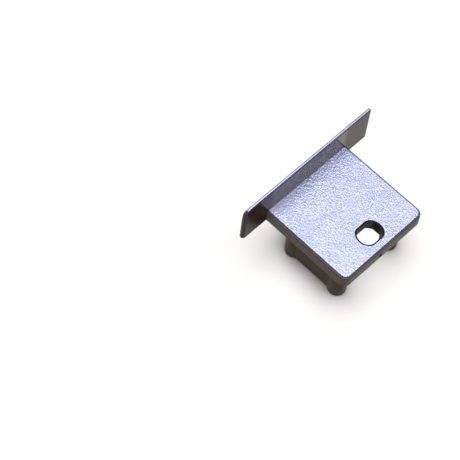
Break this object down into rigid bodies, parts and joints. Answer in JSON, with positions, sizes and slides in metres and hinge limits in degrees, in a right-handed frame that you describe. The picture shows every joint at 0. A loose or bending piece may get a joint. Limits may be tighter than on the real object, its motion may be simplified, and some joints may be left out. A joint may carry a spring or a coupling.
{
  "type": "profile end cap",
  "caption": "Moulded end cap for a recessed strip profile: a plate with a cable hole, a tapering cover flange along one edge, and an open wall with corner posts that plugs into the profile.",
  "frame": {"origin": "centre of the footprint, at the height of the post ends that it stands on", "axes": "+X along the flange, +Y towards the flange's trim face, +Z from the post ends towards the plate's outer face and the lip"},
  "size_m": [0.0252, 0.0164, 0.0138],
  "materials": {
    "moulded_plastic": "satin silver-grey, with a fine spark-eroded grain on the plate's outer face"
  },
  "bodies": {
    "root": {"end_cap": "moulded_plastic"}
  },
  "joints": []
}
